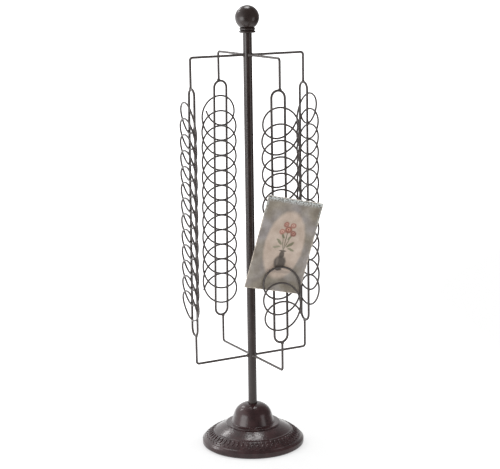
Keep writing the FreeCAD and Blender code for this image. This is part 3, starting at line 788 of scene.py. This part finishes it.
# Card: one printed postcard of thick uncoated stock, die cut, which sits askew behind a turn of
# the front coil. It shows a vase of flowers in a cream oval on a clouded ground, and its top edge
# is dusted with mica, with painted shadows under the flecks.
CARD_WIDE = 89.0
CARD_TALL = 140.0
CARD_THICK = 0.4
CARD_CORNER = 1.0
CORNER_STEPS = 4
CARD_TILT = math.radians(8.31)
CARD_ROLL = math.radians(13.04)
CARD_YAW = math.radians(1.72)
CARD_SIDE = -1.24          # from its seat aside
CARD_RISE = 29.42          # and up to its middle
CARD_SEAT = -3.9           # from halfway between the tops behind and in front of the card
SEAT_TURNS = 1.5           # pitches from there down to the top of the turn below the card's
bpy.ops.object.select_all(action="DESELECT")
bpy.ops.mesh.primitive_plane_add(size=MM, location=(0, 0, -CARD_THICK / 2 * MM))
card = bpy.context.object
card.name = "postcard"
bpy.ops.object.transform_apply(location=True, rotation=True, scale=True)
bpy.ops.object.mode_set(mode="EDIT")
bpy.ops.mesh.select_all(action="SELECT")
bpy.ops.transform.resize(value=(CARD_WIDE, CARD_TALL, 1), center_override=(0, 0, 0))
bpy.ops.mesh.bevel(offset=CARD_CORNER * MM, segments=CORNER_STEPS, affect="VERTICES")
bpy.ops.mesh.select_all(action="SELECT")
bpy.ops.mesh.extrude_region_move(TRANSFORM_OT_translate={"value": (0, 0, CARD_THICK * MM)})
bpy.ops.mesh.select_all(action="SELECT")
bpy.ops.mesh.normals_make_consistent(inside=False)
bpy.ops.object.mode_set(mode="OBJECT")

card_up = Vector((0, -math.sin(CARD_TILT), math.cos(CARD_TILT)))
card_right = Vector((math.cos(CARD_YAW), -math.sin(CARD_YAW), 0))
card_out = card_right.cross(card_up).normalized()
card_right = card_up.cross(card_out)
seat_level = COIL_TOP + COIL_RISES[CARD_PANEL - 1] - COIL_PITCH * (CARD_TURN - SEAT_TURNS)
card_middle = Vector((0, -coil_stand(CARD_PANEL) - COIL_LEAN, seat_level + CARD_SEAT))
card_middle += card_right * CARD_SIDE + card_up * CARD_RISE
askew = Matrix((card_right, card_up, card_out)).transposed() @ Matrix.Rotation(-CARD_ROLL, 3, "Z")
card_place = set_panel(CARD_PANEL) @ Matrix.Translation(card_middle * MM) @ askew.to_4x4()
card.matrix_world = card_place
bpy.ops.object.transform_apply(location=True, rotation=True, scale=True)

# Uncoated printed card: thin inks soak into the stock, so flat colours look clouded and drawn
# edges waver, and nothing on it shines. The back and the edges are bare, with a faint fibre.
# A Mix node of colours takes its share at socket 0 and its colours at 6 and 7, and gives socket 2.
GROUND_CLOUD = 16.0        # width of the clouds in the ground
HUE_DRIFT = 38.0           # and of its drift from taupe to violet
INK_GRAIN = 0.8
WAVER = 5.0                # length of a drawn edge's waves
WAVER_HALF = 1.1           # and how far they go to each side
NOISE_MIDDLE = (0.5, 0.5, 0.5)
PAPER_FIBRE = 1.5
SOAK = (0.88, 1.1)         # how much the ink's grain darkens and lightens it
WORN_EDGE = 2.6            # width of the rubbed edge
WORN_RUB = 0.5             # how hard the very edge is rubbed
WORN_CHIPS = (0.72, 0.95)  # where it starts to chip and is bare
WORN_BARE = 0.75
PRINTED_FROM = 0.45        # share of the thickness past which a point is on the face
# Along the top edge and the upper sides: pale mica flecks, with painted shadows under them.
FROST_DEEP = 9.0           # mica dust along the top edge
FROST_FULL = 3.0           # it is full from here up to the edge
FROST_ASIDE = 4.5          # and more of it down the upper sides
FROST_FLECK = 2.4          # coarser than real mica, so that it shows
FROST_COVER = (0.85, 0.8)  # how much it hides, at the top and at the sides
FROST_FALL = (0.125, 0.375)   # shares of the height between which the sides' dust fades in
OVAL_HALF = (32.0, 53.0)
OVAL_FADE = (0.88, 1.04)   # shares of its size between which it fades out
STROKE_FADE = (0.7, 1.1)   # and those between which a brush stroke does
STROKE_INK = 0.9
STROKE_DEEP = 1000         # the strokes reach right through the card's thickness
SPRIG = (                  # place, turn, half sizes and ink of each brush stroke, from the back
    ((1.5, -39.5), 0, (21.0, 3.0), "#9c8d82"), ((0.0, -36.5), 0, (6.8, 2.4), "#3f3833"),
    ((0.0, -26.0), 0, (10.6, 11.4), "#443d38"), ((0.0, -14.0), 0, (4.6, 6.5), "#4a423b"),
    ((-4.2, -25.0), 8, (2.4, 6.8), "#6f655c"), ((0.0, -8.4), 0, (6.4, 1.5), "#5a5048"),
    ((-3.2, 4.0), 14, (0.7, 14.0), "#6d6b58"), ((3.4, 3.0), -16, (0.7, 13.5), "#66634f"),
    ((0.3, 8.0), 1, (0.8, 17.0), "#5c5a48"), ((-8.8, 4.5), -38, (7.0, 2.3), "#77765f"),
    ((9.2, 2.0), 40, (7.4, 2.4), "#6a6950"), ((-11.5, -3.5), 12, (6.2, 1.9), "#85836e"),
    ((12.2, -5.0), -14, (6.0, 1.8), "#7c7a63"), ((5.8, 13.0), 58, (5.6, 1.9), "#74735c"),
    ((-5.4, 14.0), -56, (5.4, 1.8), "#696850"), ((-8.6, 20.0), 20, (5.2, 4.6), "#9c6c5f"),
    ((9.4, 19.0), -25, (5.4, 4.8), "#7d4d42"), ((-4.6, 31.0), 40, (5.0, 4.5), "#8f5d50"),
    ((6.6, 30.5), 10, (5.2, 4.6), "#96665a"), ((0.6, 23.5), 0, (6.4, 5.8), "#84503f"),
    ((-8.6, 20.4), 20, (2.6, 2.1), "#c39a8b"), ((9.2, 19.5), -25, (2.6, 2.2), "#a8796a"),
    ((-4.4, 31.4), 40, (2.4, 2.0), "#b98c7d"), ((6.5, 31.0), 10, (2.5, 2.1), "#c4a091"),
    ((0.4, 24.0), 0, (3.2, 2.7), "#ba8877"), ((0.4, 23.8), 0, (1.2, 1.1), "#5c382e"),
    ((-8.6, 20.2), 0, (0.9, 0.9), "#6d4438"), ((9.2, 19.2), 0, (0.9, 0.9), "#57352b"),
    ((-4.4, 31.2), 0, (0.9, 0.9), "#643d32"), ((6.5, 30.8), 0, (0.9, 0.9), "#6b4337"))

card_stock, tree, shader, place = new_finish("uncoated_printed_card")
on_card = add_node(tree, "ShaderNodeMapping",
                   {"Vector": place, "Location": card_place.translation,
                    "Rotation": card_place.to_euler(), "Scale": (MM, MM, MM)},
                   vector_type="TEXTURE").outputs["Vector"]
clouds = add_node(tree, "ShaderNodeTexNoise",
                  {"Vector": on_card, "Scale": 1 / GROUND_CLOUD, "Detail": 5.0})
taupe = add_node(tree, "ShaderNodeValToRGB",
                 {"Fac": clouds.outputs["Fac"]}, ramp=((0.32, "#72695d"), (0.7, "#958d80")))
violet = add_node(tree, "ShaderNodeValToRGB",
                  {"Fac": clouds.outputs["Fac"]}, ramp=((0.32, "#7a736f"), (0.7, "#9b9593")))
cream = add_node(tree, "ShaderNodeValToRGB",
                 {"Fac": clouds.outputs["Fac"]}, ramp=((0.3, "#a59384"), (0.7, "#bfafa2")))
drift = add_node(tree, "ShaderNodeTexNoise",
                 {"Vector": on_card, "Scale": 1 / HUE_DRIFT, "Detail": 2.0})
hue = add_node(tree, "ShaderNodeMapRange",
               {"Value": drift.outputs["Fac"], "From Min": 0.4, "From Max": 0.62})
border = add_node(tree, "ShaderNodeMix",
                  {0: hue.outputs["Result"], 6: taupe.outputs["Color"], 7: violet.outputs["Color"]},
                  data_type="RGBA")
waver = add_node(tree, "ShaderNodeTexNoise", {"Vector": on_card, "Scale": 1 / WAVER, "Detail": 2.0})
aside = add_node(tree, "ShaderNodeVectorMath",
                 {0: waver.outputs["Color"], 1: NOISE_MIDDLE}, operation="SUBTRACT")
wide = add_node(tree, "ShaderNodeVectorMath",
                {0: aside.outputs["Vector"], "Scale": 2 * WAVER_HALF}, operation="SCALE")
drawn = add_node(tree, "ShaderNodeVectorMath",
                 {0: on_card, 1: wide.outputs["Vector"]}, operation="ADD").outputs["Vector"]
oval = add_node(tree, "ShaderNodeVectorMath",
                {0: drawn, 1: (1 / OVAL_HALF[0], 1 / OVAL_HALF[1], 0)}, operation="MULTIPLY")
oval_reach = add_node(tree, "ShaderNodeVectorMath", {0: oval.outputs["Vector"]}, operation="LENGTH")
vignette = add_node(tree, "ShaderNodeMapRange",
                    {"Value": oval_reach.outputs["Value"], "From Min": OVAL_FADE[0],
                     "From Max": OVAL_FADE[1], "To Min": 1.0, "To Max": 0.0},
                    interpolation_type="SMOOTHSTEP")
inked = add_node(tree, "ShaderNodeMix",
                 {0: vignette.outputs["Result"], 6: border.outputs[2], 7: cream.outputs["Color"]},
                 data_type="RGBA").outputs[2]
for (x, y), turn, half, code in SPRIG:
    spot = add_node(tree, "ShaderNodeMapping",
                    {"Vector": drawn, "Location": (x, y, 0), "Scale": (*half, STROKE_DEEP),
                     "Rotation": (0, 0, math.radians(turn))}, vector_type="TEXTURE")
    reach = add_node(tree, "ShaderNodeVectorMath", {0: spot.outputs["Vector"]}, operation="LENGTH")
    stroke = add_node(tree, "ShaderNodeMapRange",
                      {"Value": reach.outputs["Value"], "From Min": STROKE_FADE[0],
                       "From Max": STROKE_FADE[1], "To Min": STROKE_INK, "To Max": 0.0},
                      interpolation_type="SMOOTHSTEP")
    inked = add_node(tree, "ShaderNodeMix",
                     {0: stroke.outputs["Result"], 6: inked, 7: linear(code)},
                     data_type="RGBA").outputs[2]
on_face = add_node(tree, "ShaderNodeSeparateXYZ", {"Vector": drawn})
frost_top = add_node(tree, "ShaderNodeMapRange",
                     {"Value": on_face.outputs["Y"], "From Min": CARD_TALL / 2 - FROST_DEEP,
                      "From Max": CARD_TALL / 2 - FROST_FULL, "To Max": FROST_COVER[0]})
outward = add_node(tree, "ShaderNodeMath", {0: on_face.outputs["X"]}, operation="ABSOLUTE")
frost_side = add_node(tree, "ShaderNodeMapRange",
                      {"Value": outward.outputs["Value"], "From Min": CARD_WIDE / 2 - FROST_ASIDE,
                       "From Max": CARD_WIDE / 2, "To Max": FROST_COVER[1]})
frost_fall = add_node(tree, "ShaderNodeMapRange",
                      {"Value": on_face.outputs["Y"], "From Min": CARD_TALL * FROST_FALL[0],
                       "From Max": CARD_TALL * FROST_FALL[1]})
aside_frost = add_node(tree, "ShaderNodeMath",
                       {0: frost_side.outputs["Result"], 1: frost_fall.outputs["Result"]},
                       operation="MULTIPLY")
mica_and_shade_band = add_node(tree, "ShaderNodeMath",
                   {0: frost_top.outputs["Result"], 1: aside_frost.outputs["Value"]},
                   operation="MAXIMUM")
fleck = add_node(tree, "ShaderNodeTexNoise",
                 {"Vector": on_card, "Scale": 1 / FROST_FLECK, "Detail": 2.0})
# Flecks: the pale end is the mica, the dark end is painted shadow under it.
mica_and_painted_shade = add_node(tree, "ShaderNodeValToRGB",
                {"Fac": fleck.outputs["Fac"]}, ramp=((0.4, "#575452"), (0.58, "#cbd2d1")))
inked = add_node(tree, "ShaderNodeMix",
                 {0: mica_and_shade_band.outputs["Value"], 6: inked, 7: mica_and_painted_shade.outputs["Color"]},
                 data_type="RGBA").outputs[2]
speck = add_node(tree, "ShaderNodeTexNoise",
                 {"Vector": on_card, "Scale": 1 / INK_GRAIN, "Detail": 3.0})
soak = add_node(tree, "ShaderNodeMapRange",
                {"Value": speck.outputs["Fac"], "From Min": 0.3, "From Max": 0.7, "To Min": SOAK[0],
                 "To Max": SOAK[1]})
face = add_node(tree, "ShaderNodeVectorMath",
                {0: inked, "Scale": soak.outputs["Result"]}, operation="SCALE")
inset = add_node(tree, "ShaderNodeVectorMath", {0: on_card}, operation="ABSOLUTE")
margin = add_node(tree, "ShaderNodeVectorMath",
                  {0: (CARD_WIDE / 2, CARD_TALL / 2, 0), 1: inset.outputs["Vector"]},
                  operation="SUBTRACT")
margins = add_node(tree, "ShaderNodeSeparateXYZ", {"Vector": margin.outputs["Vector"]})
nearest = add_node(tree, "ShaderNodeMath",
                   {0: margins.outputs["X"], 1: margins.outputs["Y"]}, operation="MINIMUM")
rubbed = add_node(tree, "ShaderNodeMapRange",
                  {"Value": nearest.outputs["Value"], "From Max": WORN_EDGE, "To Min": WORN_RUB,
                   "To Max": 0.0})
chips = add_node(tree, "ShaderNodeMath",
                 {0: waver.outputs["Fac"], 1: rubbed.outputs["Result"]}, operation="ADD")
worn = add_node(tree, "ShaderNodeMapRange",
                {"Value": chips.outputs["Value"], "From Min": WORN_CHIPS[0],
                 "From Max": WORN_CHIPS[1], "To Max": WORN_BARE})
fibre = add_node(tree, "ShaderNodeTexNoise",
                 {"Vector": on_card, "Scale": 1 / PAPER_FIBRE, "Detail": 4.0})
bare = add_node(tree, "ShaderNodeValToRGB",
                {"Fac": fibre.outputs["Fac"]}, ramp=((0.0, "#bfb4a6"), (1.0, "#d8cec1")))
depth = add_node(tree, "ShaderNodeSeparateXYZ", {"Vector": on_card})
printed = add_node(tree, "ShaderNodeMath",
                   {0: depth.outputs["Z"], 1: PRINTED_FROM * CARD_THICK}, operation="GREATER_THAN")
rubbed_face = add_node(tree, "ShaderNodeMix",
                       {0: worn.outputs["Result"], 6: face.outputs["Vector"],
                        7: bare.outputs["Color"]}, data_type="RGBA")
colour = add_node(tree, "ShaderNodeMix",
                  {0: printed.outputs["Value"], 6: bare.outputs["Color"],
                   7: rubbed_face.outputs[2]}, data_type="RGBA")
tooth = add_node(tree, "ShaderNodeBump",
                 {"Height": speck.outputs["Fac"], "Strength": 0.25, "Distance": 0.03 * MM})
tree.links.new(colour.outputs[2], shader.inputs["Base Color"])
tree.links.new(tooth.outputs["Normal"], shader.inputs["Normal"])
shader.inputs["Roughness"].default_value = 0.62
dress(card, card_stock)
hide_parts("sample_card")
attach(card, "card")


# Floor: a white paper sweep. It shows white with only a hint of the rack's shadow, and mirrors
# bright behind on the left and in a pool of light round the rack, and dim towards the viewer.
FLOOR_HALF = 30.0
SHADOW_FADE = (0.14, 0.5)            # the shadow thins out between these, from the axis
SHADOW_WHITE = 0.6                   # share of plain white that it is seen through
BRIGHT_SIDE = (-0.5, 0.85, -0.5)     # the way in which floor and room mirror brighter
POOL_REACH = (0.12, 0.26, 1.2)       # where the pool starts, is brightest and ends
POOL_GLOW = 0.8
MIRROR_DIM = 0.14                    # towards the viewer
FLOOR_SPAN = (-0.7, 1.0)             # from the dim side to the bright one
FLOOR_BRIGHT = 1.8
bpy.ops.object.select_all(action="DESELECT")
bpy.ops.mesh.primitive_plane_add(size=2 * FLOOR_HALF, location=(0, 0, 0))
floor = bpy.context.object
floor.name = "floor"
sweep, tree, shader, place = new_finish("white_paper_sweep")
shader.inputs["Base Color"].default_value = linear("#f2f2f2")
shader.inputs["Roughness"].default_value = 0.9
away = add_node(tree, "ShaderNodeVectorMath", {0: place}, operation="LENGTH")
fade = add_node(tree, "ShaderNodeMapRange",
                {"Value": away.outputs["Value"], "From Min": SHADOW_FADE[0],
                 "From Max": SHADOW_FADE[1], "To Min": SHADOW_WHITE, "To Max": 1.0})
towards = add_node(tree, "ShaderNodeVectorMath",
                   {0: place, 1: BRIGHT_SIDE}, operation="DOT_PRODUCT")
mirrored = add_node(tree, "ShaderNodeMapRange",
                    {"Value": towards.outputs["Value"], "From Min": FLOOR_SPAN[0],
                     "From Max": FLOOR_SPAN[1], "To Min": MIRROR_DIM, "To Max": FLOOR_BRIGHT},
                    interpolation_type="SMOOTHSTEP")
inner = add_node(tree, "ShaderNodeMapRange",
                 {"Value": away.outputs["Value"], "From Min": POOL_REACH[0],
                  "From Max": POOL_REACH[1], "To Max": POOL_GLOW}, interpolation_type="SMOOTHSTEP")
outer = add_node(tree, "ShaderNodeMapRange",
                 {"Value": away.outputs["Value"], "From Min": POOL_REACH[1],
                  "From Max": POOL_REACH[2], "To Min": 1.0, "To Max": 0.0},
                 interpolation_type="SMOOTHSTEP")
lit = add_node(tree, "ShaderNodeMath",
               {0: inner.outputs["Result"], 1: outer.outputs["Result"],
                2: mirrored.outputs["Result"]}, operation="MULTIPLY_ADD")
ray = add_node(tree, "ShaderNodeLightPath")
seen = add_node(tree, "ShaderNodeMath",
                {0: ray.outputs["Is Camera Ray"], 1: ray.outputs["Is Transmission Ray"]},
                operation="MAXIMUM")
seen_share = add_node(tree, "ShaderNodeMath",
                      {0: seen.outputs["Value"], 1: fade.outputs["Result"]}, operation="MULTIPLY")
share = add_node(tree, "ShaderNodeMath",
                 {0: seen_share.outputs["Value"], 1: ray.outputs["Is Glossy Ray"]},
                 operation="MAXIMUM")
bright = add_node(tree, "ShaderNodeMath",
                  {0: seen.outputs["Value"], 1: lit.outputs["Value"]}, operation="MAXIMUM")
white = add_node(tree, "ShaderNodeEmission",
                 {"Color": (1, 1, 1, 1), "Strength": bright.outputs["Value"]})
mixed = add_node(tree, "ShaderNodeMixShader",
                 {0: share.outputs["Value"], 1: shader.outputs["BSDF"],
                  2: white.outputs["Emission"]})
tree.links.new(mixed.outputs["Shader"], tree.nodes["Material Output"].inputs["Surface"])
dress(floor, sweep)


# Light: a large window on the left, a weaker one in front on the right, a soft box overhead and
# two small lamps behind. The room is white, and mirrors dimmer towards the viewer.
def hang_lamp(name, spot, aim, size, watts):
    """A flat lamp at a spot, turned to face aim, in metres."""
    lamp = bpy.data.lights.new(name, "AREA")
    lamp.shape = "RECTANGLE"
    lamp.size, lamp.size_y = size
    lamp.energy = watts
    holder = bpy.data.objects.new(name, lamp)
    bpy.context.scene.collection.objects.link(holder)
    holder.location = spot
    holder.rotation_euler = (Vector(aim) - Vector(spot)).to_track_quat("-Z", "Y").to_euler()


hang_lamp("left_window", spot=(-1.6, -0.2, 0.36), aim=(0, 0, 0.3), size=(1.1, 0.9), watts=9)
hang_lamp("right_window", spot=(0.72, -1.1, 0.29), aim=(0, 0, 0.3), size=(0.5, 0.7), watts=1.6)
hang_lamp("top_softbox", spot=(0.35, 0.6, 2.6), aim=(0, 0, 0.3), size=(0.75, 0.65), watts=20)
hang_lamp("back_lamp", spot=(-0.3, 2.2, 2.0), aim=(0, 0, 0.05), size=(0.4, 0.4), watts=6)
hang_lamp("back_left_lamp", spot=(-1.25, 1.85, 1.95), aim=(0, 0, 0.3), size=(0.35, 0.35), watts=4.5)

ROOM_LIGHT = 0.86          # strength of its plain light
ROOM_SPAN = (-0.7, 0.7)    # from the dim side to the bright one
ROOM_BRIGHT = 1.25
world = bpy.data.worlds.new("white_room")
bpy.context.scene.world = world
world.use_nodes = True
tree = world.node_tree
room = tree.nodes["Background"]
way = add_node(tree, "ShaderNodeTexCoord").outputs["Generated"]
towards = add_node(tree, "ShaderNodeVectorMath", {0: way, 1: BRIGHT_SIDE}, operation="DOT_PRODUCT")
mirrored = add_node(tree, "ShaderNodeMapRange",
                    {"Value": towards.outputs["Value"], "From Min": ROOM_SPAN[0],
                     "From Max": ROOM_SPAN[1], "To Min": MIRROR_DIM, "To Max": ROOM_BRIGHT},
                    interpolation_type="SMOOTHSTEP")
ray = add_node(tree, "ShaderNodeLightPath")
seen = add_node(tree, "ShaderNodeMath",
                {0: ray.outputs["Is Camera Ray"], 1: ray.outputs["Is Transmission Ray"]},
                operation="MAXIMUM")
glint = add_node(tree, "ShaderNodeMath",
                 {0: ray.outputs["Is Glossy Ray"], 1: mirrored.outputs["Result"]},
                 operation="MULTIPLY")
both = add_node(tree, "ShaderNodeMath",
                {0: seen.outputs["Value"], 1: glint.outputs["Value"]}, operation="MAXIMUM")
plain = add_node(tree, "ShaderNodeMapRange",
                 {"Value": ray.outputs["Is Diffuse Ray"], "To Min": 0.0, "To Max": ROOM_LIGHT})
level = add_node(tree, "ShaderNodeMath",
                 {0: both.outputs["Value"], 1: plain.outputs["Result"]}, operation="MAXIMUM")
room.inputs["Color"].default_value = (1, 1, 1, 1)
tree.links.new(level.outputs["Value"], room.inputs["Strength"])
bpy.context.scene.view_settings.view_transform = "Standard"
